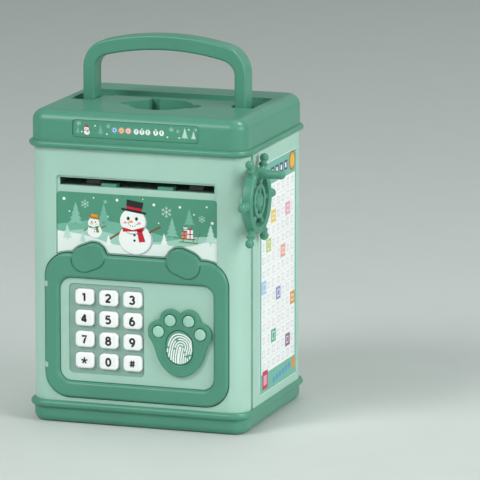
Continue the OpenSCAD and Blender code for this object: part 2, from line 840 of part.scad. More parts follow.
module door_back() color([0.6, 0.8, 0.74]) {
  difference() {
    facing(door_back_y, tub_back_y) panel_outline(0);
    facing(door_back_y - 1, tub_back_y - tub_wall) panel_outline(-tub_wall);
  }
}

module hinge_pins() color([0.75, 0.76, 0.78]) {
  for (side = [-1, 1])
    translate([hinge_x, hinge_y, door_center_z + side * knuckle_rise - hinge_pin_length / 2])
      cylinder(h = hinge_pin_length, r = hinge_pin_radius);
}

module door_strike() color([0.75, 0.76, 0.78]) {
  block([strike_x, door_back_y, latch_z - 7], [strike_x + 7, door_back_y + 1.5, latch_z + 7]);
  difference() {
    block([strike_x, door_back_y + 1.5 - eps, latch_z - 7], [strike_x + 2, -41, latch_z + 7]);
    block([strike_x - 1, -47.2, latch_z - 4], [strike_x + 3, -42.4, latch_z + 4]);
  }
}

module key_mat() color([0.85, 0.86, 0.84]) {
  facing(mat_y, mat_y + mat_thickness)
    translate([(tray_left + tray_right) / 2, (tray_bottom + tray_top) / 2])
      rounded_square(50, 55, 3);
}

module keypad_board() color([0.1, 0.35, 0.2]) {
  facing(mat_y + mat_thickness, mat_y + mat_thickness + board_thickness) panel_outline(-tub_wall - 0.5);
}

module paw_cover() color([0.29, 0.56, 0.46]) {
  difference() {
    facing(paw_front_y, panel_front_y) paw_outline();
    facing(-70, -50) pad_outline(key_gap);
    for (toe = toes) rod_y(-70, panel_front_y - 0.8, paw_x + toe[0], paw_z + toe[1], toe_light_radius);
  }
}

module toe_lights() color([0.66, 0.85, 0.77]) {
  for (toe = toes)
    rod_y(paw_front_y - 0.4, panel_front_y - 0.8, paw_x + toe[0], paw_z + toe[1], toe_light_radius);
}

module finger_pad() color([0.6, 0.82, 0.74]) {
  facing(pad_front_y, key_flange_back_y) pad_outline(0);
  facing(key_flange_y, key_flange_back_y) pad_outline(1.4);
}

module key(column, row) color([0.95, 0.96, 0.95]) {
  key_positions(column, row) {
    facing(key_front_y + 0.8, key_flange_back_y) key_outline(0);
    facing(key_front_y, key_front_y + 0.8) key_outline(-0.8);
    facing(key_flange_y, key_flange_back_y) key_outline(key_flange);
  }
}

// ---- latch ----

module latch_bolt() color([0.75, 0.76, 0.78]) {
  block([bolt_tip_x, bolt_y - 1.5, latch_z - 3], [housing_end_x - 1, bolt_y + 1.5, latch_z + 3]);
}

module latch_housing() color([0.2, 0.22, 0.23]) {
  difference() {
    block([housing_x, -50, latch_z - 9], [housing_end_x, -40, latch_z + 9]);
    block([housing_x - 1, bolt_y - 1.8, latch_z - 3.3], [housing_end_x + 1, bolt_y + 1.8, latch_z + 3.3]);
  }
}

module latch_motor() color([0.7, 0.71, 0.72]) {
  rod_y(-40, -22, housing_x + 1.2, latch_z, 4.5);
  rod_y(-22 - eps, -20, housing_x + 1.2, latch_z, 2);
}

base_tray();
battery_cover();
battery_cells();
battery_contacts();
power_switch();
speaker();
main_board();
cash_floor();
case_screws();
rear_case();
front_frame();
front_sticker();
side_label_right();
side_label_left();
lid();
lid_label();
coin_funnel();
handle();
handle_pins();
bill_guide();
bill_cradle();
drive_shaft();
drive_gear();
drive_tyres();
idler_rollers();
feed_motor();
motor_pinion();
helm_wheel();
crank_peg();
helm_clip();
door_frame();
door_panel();
door_back();
hinge_pins();
door_strike();
key_mat();
keypad_board();
paw_cover();
toe_lights();
finger_pad();
key(0, 0);  // key_1
key(1, 0);  // key_2
key(2, 0);  // key_3
key(0, 1);  // key_4
key(1, 1);  // key_5
key(2, 1);  // key_6
key(0, 2);  // key_7
key(1, 2);  // key_8
key(2, 2);  // key_9
key(0, 3);  // key_star
key(1, 3);  // key_0
key(2, 3);  // key_hash
latch_bolt();
latch_housing();
latch_motor();
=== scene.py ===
"""Looks of the electronic money safe: materials, rounded shapes, prints and lights
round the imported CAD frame. Lengths in this file are millimetres until they become
mesh coordinates, which are metres."""

import json
import math
import random

import bmesh
import bpy
from mathutils import Matrix, Vector


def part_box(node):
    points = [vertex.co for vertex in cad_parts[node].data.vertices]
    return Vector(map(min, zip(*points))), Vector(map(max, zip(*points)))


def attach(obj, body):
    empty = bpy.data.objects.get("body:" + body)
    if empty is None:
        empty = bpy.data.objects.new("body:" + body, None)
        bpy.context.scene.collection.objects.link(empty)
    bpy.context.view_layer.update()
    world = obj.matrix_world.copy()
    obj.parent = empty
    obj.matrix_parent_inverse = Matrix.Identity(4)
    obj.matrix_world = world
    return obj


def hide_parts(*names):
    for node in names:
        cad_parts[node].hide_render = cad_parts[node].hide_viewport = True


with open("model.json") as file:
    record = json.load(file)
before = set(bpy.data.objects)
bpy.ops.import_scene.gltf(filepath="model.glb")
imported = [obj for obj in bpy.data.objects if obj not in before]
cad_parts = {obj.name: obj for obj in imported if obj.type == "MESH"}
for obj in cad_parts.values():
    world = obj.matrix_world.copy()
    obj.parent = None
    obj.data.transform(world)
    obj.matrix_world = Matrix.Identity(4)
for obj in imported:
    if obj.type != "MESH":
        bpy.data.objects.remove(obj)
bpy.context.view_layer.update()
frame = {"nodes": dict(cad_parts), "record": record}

MM = 0.001
SHARP_ANGLE = math.radians(38)


def mm_box(node):
    """Lowest and highest corner of a CAD node, in millimetres."""
    low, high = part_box(node)
    return low / MM, high / MM


def mm_corners(node):
    """The same two corners, rounded to a hundredth of a millimetre."""
    return [[round(value, 2) for value in corner] for corner in mm_box(node)]


def mm_middle(node):
    """Middle of a CAD node's box, to a hundredth of a millimetre."""
    return [round((a + b) / 2, 2) for a, b in zip(*mm_box(node))]


# ---------------------------------------------------------------- camera


def add_camera():
    """The photograph's view: a long lens, from the front right and a little above."""
    azimuth, elevation = math.radians(18.65), math.radians(11.09)
    distance, aim_height, aside, above = 2.993, 0.095, 0.0441, 0.01026
    back = Vector((math.sin(azimuth) * math.cos(elevation),
                   -math.cos(azimuth) * math.cos(elevation), math.sin(elevation)))
    right = Vector((math.cos(azimuth), math.sin(azimuth), 0))
    up = back.cross(right)
    data = bpy.data.cameras.new("camera")
    data.lens = 366.7
    data.clip_end = 20
    camera = bpy.data.objects.new("camera", data)
    place = Vector((0, 0, aim_height)) + back * distance + right * aside + up * above
    turn = Matrix((right, up, back)).transposed().to_4x4()
    camera.matrix_world = Matrix.Translation(place) @ turn
    bpy.context.scene.collection.objects.link(camera)
    bpy.context.scene.camera = camera


add_camera()


# ---------------------------------------------------------------- materials


def srgb(red, green, blue):
    """Linear colour of an sRGB one given from 0 to 255."""
    def linear(value):
        value /= 255
        return value / 12.92 if value <= 0.04045 else ((value + 0.055) / 1.055) ** 2.4
    return linear(red), linear(green), linear(blue), 1.0


def shade(color, factor):
    """A colour made lighter or darker."""
    return tuple(min(1.0, c * factor) for c in color[:3]) + (1.0,)


def add_node(tree, kind, links=(), **values):
    """A shader node with its inputs set by name, and links made as (input, socket)."""
    node = tree.nodes.new(kind)
    for key, value in values.items():
        if key in node.inputs:
            node.inputs[key].default_value = value
        else:
            setattr(node, key, value)
    for name, socket in links:
        tree.links.new(node.inputs[name], socket)
    return node


def plastic(name, color, roughness=0.38, mottle=0.05, grain=1400, relief=0.015,
            subsurface=0.0, metallic=0.0, specular=0.5):
    """Moulded plastic: cloudy colour, uneven gloss and a fine surface grain."""
    material = bpy.data.materials.new(name)
    material.use_nodes = True
    tree = material.node_tree
    shader = tree.nodes["Principled BSDF"]
    place = add_node(tree, "ShaderNodeTexCoord")
    clouds = add_node(tree, "ShaderNodeTexNoise", [("Vector", place.outputs["Object"])],
                      Scale=28.0, Detail=4.0)
    tint = add_node(tree, "ShaderNodeValToRGB", [("Fac", clouds.outputs["Fac"])])
    tint.color_ramp.elements[0].position = 0.3
    tint.color_ramp.elements[1].position = 0.7
    tint.color_ramp.elements[0].color = shade(color, 1 - mottle)
    tint.color_ramp.elements[1].color = shade(color, 1 + mottle)
    tree.links.new(shader.inputs["Base Color"], tint.outputs["Color"])
    fine = add_node(tree, "ShaderNodeTexNoise", [("Vector", place.outputs["Object"])],
                    Scale=grain, Detail=2.0)
    gloss = add_node(tree, "ShaderNodeMapRange", [("Value", clouds.outputs["Fac"])])
    gloss.inputs["To Min"].default_value = roughness - 0.04
    gloss.inputs["To Max"].default_value = roughness + 0.05
    tree.links.new(shader.inputs["Roughness"], gloss.outputs["Result"])
    bump = add_node(tree, "ShaderNodeBump", [("Height", fine.outputs["Fac"])],
                    Strength=relief * 10, Distance=0.05 * MM)
    tree.links.new(shader.inputs["Normal"], bump.outputs["Normal"])
    shader.inputs["Metallic"].default_value = metallic
    shader.inputs["Specular IOR Level"].default_value = specular
    shader.inputs["Subsurface Weight"].default_value = subsurface
    shader.inputs["Subsurface Scale"].default_value = 2 * MM
    material.diffuse_color = color
    return material


PALE_GREEN = srgb(170, 208, 193)
MATERIALS = {
    "dark_green": plastic("dark_green", srgb(84, 148, 125), roughness=0.29, specular=0.26,
                          relief=0.005),
    "pale_green": plastic("pale_green", PALE_GREEN, roughness=0.4, mottle=0.03),
    "cell_jacket": plastic("cell_jacket", srgb(70, 74, 80), roughness=0.25),
    "steel": plastic("steel", srgb(205, 207, 210), roughness=0.28, metallic=1.0, grain=600),
    "black_plastic": plastic("black_plastic", srgb(48, 50, 52), roughness=0.5),
    "board": plastic("board", srgb(30, 92, 58), roughness=0.35),
    "printed_film": plastic("printed_film", srgb(78, 150, 124), roughness=0.3, relief=0.004),
    "printed_chart": plastic("printed_chart", srgb(254, 255, 254), roughness=0.32, relief=0.004,
                             mottle=0.01),
    "white_plastic": plastic("white_plastic", srgb(232, 232, 226), roughness=0.45, mottle=0.02),
    "rubber": plastic("rubber", srgb(20, 21, 21), roughness=0.8, relief=0.06),
    "rubber_mat": plastic("rubber_mat", srgb(206, 208, 204), roughness=0.7, relief=0.04),
    "light_lens": plastic("light_lens", srgb(168, 214, 196), roughness=0.22, subsurface=0.3),
    "pad_plastic": plastic("pad_plastic", srgb(92, 158, 134), roughness=0.3),
    "key_white": plastic("key_white", srgb(254, 255, 254), roughness=0.3, mottle=0.01),
}


def tint_box(material, color, low, high):
    """Recolours what lies in a box, given in millimetres by two corners."""
    tree = material.node_tree
    shader = tree.nodes["Principled BSDF"]
    plain = shader.inputs["Base Color"].links[0].from_socket
    place = add_node(tree, "ShaderNodeTexCoord")
    split = add_node(tree, "ShaderNodeSeparateXYZ", [("Vector", place.outputs["Object"])])
    inside = None
    for axis, a, b in zip("XYZ", low, high):
        test = tree.nodes.new("ShaderNodeMath")
        test.operation = "COMPARE"
        tree.links.new(test.inputs[0], split.outputs[axis])
        test.inputs[1].default_value = (a + b) / 2 * MM
        test.inputs[2].default_value = (b - a) / 2 * MM
        if inside is None:
            inside = test.outputs[0]
            continue
        both = tree.nodes.new("ShaderNodeMath")
        both.operation = "MULTIPLY"
        tree.links.new(both.inputs[0], inside)
        tree.links.new(both.inputs[1], test.outputs[0])
        inside = both.outputs[0]
    blend = tree.nodes.new("ShaderNodeMix")
    blend.data_type = "RGBA"
    color_a, color_b = blend.inputs[6:8]
    tree.links.new(blend.inputs["Factor"], inside)
    tree.links.new(color_a, plain)
    color_b.default_value = color
    tree.links.new(shader.inputs["Base Color"], blend.outputs[2])


INK_COLORS = {
    "white": (246, 250, 248), "black": (26, 27, 29), "far_hill": (116, 182, 160),
    "mid_hill": (162, 211, 195), "snow": (233, 244, 239), "pine": (134, 194, 174),
    "pale_pine": (190, 226, 214), "red": (200, 28, 44), "orange": (238, 150, 40),
    "moss": (96, 140, 60), "plum": (138, 84, 140), "blue": (64, 150, 206),
    "teal": (112, 184, 166), "line": (208, 217, 216), "glyph": (222, 220, 228),
    "yellow": (240, 206, 70), "pink": (242, 160, 192), "lime": (190, 206, 84),
    "salmon": (244, 160, 140), "pale_blue": (160, 200, 236), "violet": (140, 144, 204),
    "sea_green": (40, 170, 140), "crimson": (196, 34, 72), "navy": (60, 62, 110),
    "shadow": (176, 190, 196), "brown": (120, 84, 54),
}
INKS = {ink: plastic("ink_" + ink, srgb(*color), roughness=0.34, mottle=0.012, relief=0.004)
        for ink, color in INK_COLORS.items()}


# The door panel is painted a darker, greyer green in a box round its keys, about as wide and tall
# as the key mat behind it.
MATERIALS["key_panel"] = plastic("key_panel", PALE_GREEN, roughness=0.4, mottle=0.03)
MAT_LOW, MAT_HIGH = mm_corners("key_mat")
PANEL_LOW, PANEL_HIGH = mm_corners("door_panel")
tint_box(MATERIALS["key_panel"], srgb(143, 178, 166),
         (MAT_LOW[0] + 0.6, PANEL_LOW[1] + 0.3, MAT_LOW[2] - 0.55),
         (MAT_HIGH[0] - 0.6, PANEL_HIGH[1] + 0.6, MAT_HIGH[2] + 0.55))
SPECIAL = {"door_panel": "key_panel"}


def dress_cad_nodes():
    """Every CAD node gets its slot's material, and smooth shading over its curves only."""
    for entry in frame["record"]["subparts"]:
        node = frame["nodes"][entry["node"]]
        node.data.materials.clear()
        material = SPECIAL.get(entry["node"], entry["material_slot"])
        node.data.materials.append(MATERIALS[material])
        weld = node.modifiers.new("weld", "WELD")
        weld.merge_threshold = 0.01 * MM
        split = node.modifiers.new("edge_split", "EDGE_SPLIT")
        split.split_angle = SHARP_ANGLE
        split.use_edge_sharp = False
        smooth(node)


def mark_smooth(piece):
    """Smooth shading, except across sharp edges."""
    piece.data.polygons.foreach_set("use_smooth", [True] * len(piece.data.polygons))
    piece.data.set_sharp_from_angle(angle=SHARP_ANGLE)


def smooth(piece):
    """Smooth shading that also keeps flat faces looking flat."""
    mark_smooth(piece)
    weighted = piece.modifiers.new("weighted_normal", "WEIGHTED_NORMAL")
    weighted.keep_sharp = True


dress_cad_nodes()


# ---------------------------------------------------------------- outlines


def disc(x, z, radius):
    """Distance outside a circle; every outline here is such a function of x and z."""
    return lambda px, pz: math.hypot(px - x, pz - z) - radius


def capsule(x0, z0, x1, z1, radius):
    """Everything within a radius of a straight line."""
    length = math.hypot(x1 - x0, z1 - z0)
    ux, uz = (x1 - x0) / length, (z1 - z0) / length

    def distance(px, pz):
        along = min(length, max(0, (px - x0) * ux + (pz - z0) * uz))
        return math.hypot(px - x0 - along * ux, pz - z0 - along * uz) - radius
    return distance


def rounded_box(x, z, half_x, half_z, radius):
    """A rectangle with round corners."""
    def distance(px, pz):
        dx, dz = abs(px - x) - half_x + radius, abs(pz - z) - half_z + radius
        return math.hypot(max(dx, 0), max(dz, 0)) + min(max(dx, dz), 0) - radius
    return distance


def merged(blend, *shapes):
    """Several outlines as one, with a fillet where they meet."""
    def distance(px, pz):
        near = shapes[0](px, pz)
        for shape in shapes[1:]:
            other = shape(px, pz)
            mix = max(blend - abs(near - other), 0) / blend
            near = min(near, other) - mix * mix * blend / 4
        return near
    return distance


def contour(shape, center, grow=0.0, count=96, reach=90.0):
    """Points on the outline grown by that much, one in each direction from the centre."""
    points = []
    for step in range(count):
        angle = math.tau * (step + 0.5) / count
        ux, uz = math.cos(angle), math.sin(angle)
        away = reach
        for _ in range(80):
            gap = shape(center[0] + ux * away, center[1] + uz * away) - grow
            away -= gap
            if abs(gap) < 0.0005:
                break
        points.append((center[0] + ux * away, center[1] + uz * away))
    return points


def rounding(radius, steps=5):
    """(inset, drop) pairs of a quarter-round edge, from the side up to the face."""
    return [(radius * (1 - math.cos(math.pi / 2 * i / steps)),
             radius * (1 - math.sin(math.pi / 2 * i / steps))) for i in range(steps + 1)]


def facing(points, y):
    """An outline set upright at a depth: the front of the object faces -Y."""
    return [(x, y, z) for x, z in points]


def ring_maker(center, count, reach):
    """A function that gives an outline, grown by an amount, as a ring at a depth."""
    return lambda shape, grow, y: facing(contour(shape, center, grow, count, reach), y)


# ---------------------------------------------------------------- shells


class Shell:
    """The faces of one piece, with corners in millimetres."""

    def __init__(self):
        self.points, self.faces, self.slots = [], [], []

    def ring(self, points):
        """Adds corners, and gives their numbers."""
        start = len(self.points)
        self.points += [tuple(point) for point in points]
        return list(range(start, start + len(points)))

    def face(self, corners, slot=0):
        """Adds a face, with the place of its material on the piece."""
        self.faces.append(corners)
        self.slots.append(slot)

    def bridge(self, a, b, slot=0):
        """Faces between two rings of as many corners."""
        for i in range(len(a)):
            j = (i + 1) % len(a)
            self.face((a[i], a[j], b[j], b[i]), slot)

    def fan(self, ring, point, slot=0):
        """Faces from a ring to a point."""
        top = self.ring([point])[0]
        for i in range(len(ring)):
            self.face((ring[i], ring[(i + 1) % len(ring)], top), slot)

    def loft(self, rings, slot=0, looped=False, last=True):
        """Joins rings into a closed skin, whose two ends are flat unless it is looped."""
        laid = [self.ring(points) for points in rings]
        for a, b in zip(laid, laid[1:]):
            self.bridge(a, b, slot)
        if looped:
            self.bridge(laid[-1], laid[0], slot)
            return laid
        self.face(tuple(reversed(laid[0])), slot)
        if last:
            self.face(tuple(laid[-1]), slot)
        return laid

    def lathe(self, origin, axis, profile, sides=48, looped=False, slot=0):
        """Turns (along, radius) pairs about an axis through the origin."""
        origin, axis = Vector(origin), Vector(axis).normalized()
        side = axis.orthogonal().normalized()
        up = axis.cross(side)
        rings = [[origin + axis * along + (side * math.cos(math.tau * k / sides)
                                           + up * math.sin(math.tau * k / sides)) * radius
                  for k in range(sides)] for along, radius in profile]
        self.loft(rings, slot, looped=looped)

    def build(self, name, materials, body, nodes=(), slot=None, closed=True):
        """Makes the piece, riding on a body, in the place of the CAD nodes it replaces."""
        mesh = bpy.data.meshes.new(name)
        mesh.from_pydata([Vector(point) * MM for point in self.points], [], self.faces)
        mesh.polygons.foreach_set("material_index", self.slots)
        if closed:
            face_outward(mesh)
        piece = bpy.data.objects.new(name, mesh)
        bpy.context.scene.collection.objects.link(piece)
        for material in materials:
            mesh.materials.append(material)
        smooth(piece)
        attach(piece, body)
        if nodes:
            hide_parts(*nodes)
        return piece


def face_outward(mesh):
    """Turns every face of a closed mesh outward."""
    work = bmesh.new()
    work.from_mesh(mesh)
    bmesh.ops.recalc_face_normals(work, faces=work.faces)
    if work.calc_volume(signed=True) < 0:
        bmesh.ops.reverse_faces(work, faces=work.faces)
    work.to_mesh(mesh)
    work.free()


def carve(piece, cutters):
    """Cuts closed shells out of a piece."""
    for cutter in cutters:
        mesh = bpy.data.meshes.new("cutter")
        mesh.from_pydata([Vector(point) * MM for point in cutter.points], [], cutter.faces)
        face_outward(mesh)
        tool = bpy.data.objects.new("cutter", mesh)
        bpy.context.scene.collection.objects.link(tool)
        cut = piece.modifiers.new("cut", "BOOLEAN")
        cut.operation, cut.solver, cut.object = "DIFFERENCE", "EXACT", tool
        while piece.modifiers[0] != cut:
            piece.modifiers.move(piece.modifiers.find(cut.name), 0)
        bpy.context.view_layer.update()
        others = [m for m in piece.modifiers if m != cut]
        for other in others:
            other.show_viewport = False
        result = bpy.data.meshes.new_from_object(
            piece.evaluated_get(bpy.context.evaluated_depsgraph_get()))
        for other in others:
            other.show_viewport = True
        piece.modifiers.remove(cut)
        piece.data = result
        bpy.data.objects.remove(tool)
    mark_smooth(piece)


# ---------------------------------------------------------------- door


HINGE = mm_middle("hinge_pins")
DOOR_LOW, DOOR_HIGH = mm_corners("door_frame")
DOOR_CENTER = (0.0, HINGE[2])
DOOR_BOX = rounded_box(0, HINGE[2], DOOR_HIGH[0], HINGE[2] - DOOR_LOW[2], 15)
EAR_RADIUS, EAR_ASIDE, EAR_RUN, EAR_RISE = 8.0, 30.3, 2.87, 1.16
EAR_CENTERS = [(side * EAR_ASIDE, DOOR_HIGH[2] - EAR_RADIUS - EAR_RISE) for side in (-1, 1)]
EARS = [capsule(x + math.copysign(EAR_RUN, x), z - EAR_RISE,
                x - math.copysign(EAR_RUN, x), z + EAR_RISE, EAR_RADIUS)
        for x, z in EAR_CENTERS]
HINGE_SPREAD, PIN_HOLE, PIN_HALF, KNUCKLE_HOLE, KNUCKLE_HALF = 25, 0.76, 6.5, 1.6, 1.95
DOOR = merged(1.0, DOOR_BOX, *EARS)
PANEL = rounded_box(0, (PANEL_LOW[2] + PANEL_HIGH[2]) / 2, PANEL_HIGH[0],
                    (PANEL_HIGH[2] - PANEL_LOW[2]) / 2, 7)


def hinge_cutters():
    """Room in the rim for the hinge's pins and knuckles, and for the knuckles to swing."""
    cutters = []
    x, y, middle = HINGE
    for z in (middle - HINGE_SPREAD, middle + HINGE_SPREAD):
        for half, radius, sides in ((PIN_HALF, PIN_HOLE, 16), (KNUCKLE_HALF, KNUCKLE_HOLE, 24)):
            cutter = Shell()
            cutter.lathe((x, y, z - half), (0, 0, 1), [(0, radius), (2 * half, radius)], sides)
            cutters.append(cutter)
        cutter = Shell()
        corners = [(x - 5, y - 5), (x + 1, y - 5), (x + 1, y + 10), (x - 5, y + 10)]
        cutter.loft([[(cx, cy, z + h) for cx, cy in corners]
                     for h in (-KNUCKLE_HALF, KNUCKLE_HALF)])
        cutters.append(cutter)
    return cutters


def build_door_frame():
    """The door's rim: soft outer edge, a wider round into the panel and two raised ears."""
    front, back, gap = DOOR_LOW[1] + 0.7, DOOR_HIGH[1], 0.35
    ring = ring_maker(DOOR_CENTER, 720, 90)
    rings = [ring(DOOR, 0, back)]
    rings += [ring(DOOR, -inset, front + drop) for inset, drop in rounding(2.0)]
    rings += [ring(PANEL, gap + inset, front + drop)
              for inset, drop in reversed(rounding(2.3, 7))]
    rings.append(ring(PANEL, gap, back))
    shell = Shell()
    shell.loft(rings, looped=True)
    piece = shell.build("door_rim", [MATERIALS["dark_green"]], "door", ["door_frame"],
                        "dark_green")

    def sunk(points, depth):
        """Points at a depth under the rim's face, fading out towards its rounded edge."""
        return [(x, front - 1 + (depth + 1) * min(1, max(0, -1.6 - DOOR_BOX(x, z)) / 1.5), z)
                for x, z in points]
    cutters, pads = [], Shell()
    for center, ear in zip(EAR_CENTERS, EARS):
        groove = Shell()
        groove.loft([sunk(contour(ear, center, grow, 96, 20), sink)
                     for grow, sink in ((0.4, -1), (0.4, 0.3), (0, 0.6), (-0.4, 0.3),
                                        (-0.4, -1))], looped=True)
        cutters.append(groove)
        ring = ring_maker(center, 96, 20)
        pads.loft([ring(ear, -0.3, front + 2.2)]
                  + [ring(ear, -0.3 - inset, front - 0.5 + drop)
                     for inset, drop in rounding(1.1, 6)]
                  + [ring(ear, -4.4, front - 0.48)])
    carve(piece, cutters + hinge_cutters())
    pads.build("door_ears", [MATERIALS["dark_green"]], "door", slot="dark_green")


# ---------------------------------------------------------------- keys


KEYS = ["1", "2", "3", "4", "5", "6", "7", "8", "9", "star", "0", "hash"]


def arc(x, z, rx, rz, start, stop, count=16):
    """Points along part of an ellipse, from one angle to another, in degrees."""
    angles = [math.radians(start + (stop - start) * k / count) for k in range(count + 1)]
    return [(x + rx * math.cos(a), z + rz * math.sin(a)) for a in angles]


def sign_strokes(label):
    """The strokes of a key's sign, in millimetres about its middle."""
    six = [arc(0, -0.95, 1.35, 1.4, 100, 460, 28), arc(1.15, -0.9, 2.45, 3.45, 104, 180, 14)]
    strokes = {
        "1": [[(0.35, -2.4), (0.35, 2.35)], [(0.3, 2.2), (-0.2, 1.75), (-0.95, 1.5)]],
        "2": [arc(0, 1.1, 1.4, 1.25, 165, -38) + [(-1.35, -2.1)], [(-1.5, -2.1), (1.5, -2.1)]],
        "3": [arc(-0.05, 1.15, 1.25, 1.15, 160, -88), arc(-0.05, -1.05, 1.45, 1.3, 88, -160)],
        "4": [[(0.6, -2.4), (0.6, 2.3)], [(0.5, 2.25), (-1.55, -1.1)],
              [(-1.6, -1.15), (1.6, -1.15)]],
        "5": [[(1.3, 2.15), (-0.95, 2.15), (-1.2, 0.1)], arc(-0.05, -0.85, 1.4, 1.4, 130, -150)],
        "6": six,
        "7": [[(-1.5, 2.15), (1.45, 2.15), (0.4, 0.3), (-0.35, -2.4)]],
        "8": [arc(0, 1.15, 1.15, 1.1, 0, 360, 24), arc(0, -1.1, 1.4, 1.25, 0, 360, 24)],
        "9": [[(-x, -z) for x, z in stroke] for stroke in six],
        "0": [arc(0, 0, 1.35, 2.2, 0, 360, 32)],
        "star": [[(0, 0), (2.0 * math.sin(a), 2.0 * math.cos(a))]
                 for a in [math.tau * k / 5 for k in range(5)]],
        "hash": [[(-0.85, -2), (-0.45, 2)], [(0.45, -2), (0.85, 2)],
                 [(-1.6, -0.75), (1.5, -0.75)], [(-1.5, 0.75), (1.6, 0.75)]],
    }
    return strokes[label]


def add_stroke(shell, path, widths, fronts, backs, slot=0):
    """A raised pen stroke along a path, with its half width, front and back at each point."""
    rings, last = [], len(path) - 1
    closed = last > 1 and math.dist(path[0], path[-1]) < 0.01
    for i, (x, z) in enumerate(path):
        (ax, az), (bx, bz) = path[max(i - 1, 0)], path[min(i + 1, last)]
        if closed and i in (0, last):
            (ax, az), (bx, bz) = path[-2], path[1]
        length = math.hypot(bx - ax, bz - az) or 1
        nx, nz = -(bz - az) / length * widths[i], (bx - ax) / length * widths[i]
        rings.append([(x + nx, fronts[i], z + nz), (x - nx, fronts[i], z - nz),
                      (x - nx, backs[i], z - nz), (x + nx, backs[i], z + nz)])
    shell.loft(rings, slot)


def add_sign(name, label, place, body):
    """A key's sign, printed with a broad pen."""
    shell = Shell()
    half = 0.6 if label not in ("hash", "star") else 0.42
    for depth, stroke in enumerate(sign_strokes(label)):
        path = [(place[0] + x, place[2] + z) for x, z in stroke]
        count = len(path)
        add_stroke(shell, path, [half] * count, [place[1] - 0.02 * depth] * count,
                   [place[1] + 0.3] * count)
    piece = shell.build(name, [INKS["black"]], body)


def build_keys():
    """Twelve pillow-shaped keys, each with its sign."""
    brim, brim_thick, corner = 0.7, 0.9, 2.5
    for label in KEYS:
        node = "key_" + label
        low, high = mm_box(node)
        x, z = (low[0] + high[0]) / 2, (low[2] + high[2]) / 2
        half_x, half_z = (high[0] - low[0]) / 2 - brim, (high[2] - low[2]) / 2 - brim
        front, back = low[1], high[1]
        outline = rounded_box(x, z, half_x, half_z, corner)
        flange = rounded_box(x, z, half_x + brim, half_z + brim, corner)
        ring = ring_maker((x, z), 80, 20)
        rings = [ring(flange, 0, y) for y in (back, back - brim_thick)]
        rings += [ring(outline, 0, y) for y in (back - brim_thick, front + 1.3)]
        rings += [ring(outline, -inset, front + drop) for inset, drop in rounding(1.3, 6)[1:]]
        rings += [ring(outline, -2.8, front + 0.05)]
        shell = Shell()
        laid = shell.loft(rings, last=False)
        shell.fan(laid[-1], (x, front + 0.12, z))
        shell.build("cap_" + label, [MATERIALS["key_white"]], node, [node], "key_white")
        add_sign("sign_" + label, label, (x, front - 0.02, z), node)


# ---------------------------------------------------------------- paw


PAD = mm_middle("finger_pad")
PAW = (PAD[0] + 0.3, PAD[2] - 0.9)
TOES = [(-13.6, 10.2), (-6.1, 17.4), (5.7, 17.6), (13.0, 9.9)]
PAD_RADIUS = 8.5


def pad_outline(radius):
    """The finger pad's upright oval, with that radius at its ends."""
    return capsule(PAD[0], PAD[2] - 2, PAD[0], PAD[2] + 2, radius)


def slope(x0, z0, x1, z1):
    """Distance behind a straight line, for cutting polygons' sides."""
    length = math.hypot(x1 - x0, z1 - z0)
    nx, nz = (z1 - z0) / length, -(x1 - x0) / length
    return lambda px, pz: (px - x0) * nx + (pz - z0) * nz


def build_paw():
    """The paw-shaped cover: proud rim, rounded edge, toe rings, and a sunken pad."""
    px, pz = PAW
    corners = [(-19.9, 7.1), (-11.2, -10.3), (11.2, -10.3), (19.3, 6.8)]
    sides = [slope(px + a[0], pz + a[1], px + b[0], pz + b[1])
             for a, b in zip(corners, corners[1:] + corners[:1])]

    def taper(x, z):
        return max(side(x, z) for side in sides)
    outline = merged(1.6, disc(px, pz, 15.6), disc(px, pz - 4.7, 12.5), taper,
                     *[disc(px + dx, pz + dz, 7) for dx, dz in TOES])
    pad = pad_outline(PAD_RADIUS)
    low, high = mm_corners("paw_cover")
    front, back = low[1], high[1]
    ring = ring_maker((px, pz + 2.5), 480, 40)
    rings = [ring(outline, -0.05, back)]
    rings += [ring(outline, -0.05 - inset, front + 0.25 + drop)
              for inset, drop in rounding(1.0)]
    rings += [ring(outline, -2.3, front + 0.2), ring(outline, -2.7, front + 0.35),
              ring(pad, 1.25, front + 0.35)]
    rings += [ring(pad, 0.25 + inset, front + 0.12 + drop)
              for inset, drop in reversed(rounding(0.8, 3))]
    rings.append(ring(pad, 0.25, back))
    shell = Shell()
    shell.loft(rings, looped=True)
    piece = shell.build("paw_shell", [MATERIALS["dark_green"]], "door", ["paw_cover"],
                        "dark_green")
    holes = []
    for dx, dz in TOES:
        hole = Shell()
        hole.lathe((px + dx, 0, pz + dz), (0, 1, 0),
                   [(front - 1, 4.3), (front + 0.36, 4.3), (front + 0.75, 3.9),
                    (front + 1.6, 3.9)], 40)
        holes.append(hole)
    carve(piece, holes)
    lights = Shell()
    for dx, dz in TOES:
        lights.lathe((px + dx, 0, pz + dz), (0, 1, 0),
                     [(back - 0.8, 3.5), (front + 0.2, 3.5), (front - 0.02, 3.25),
                      (front - 0.2, 2.7), (front - 0.32, 1.9), (front - 0.39, 1.0),
                      (front - 0.4, 0.2)], 40)
    lights.build("toe_domes", [MATERIALS["light_lens"]], "door", ["toe_lights"], "light_lens")


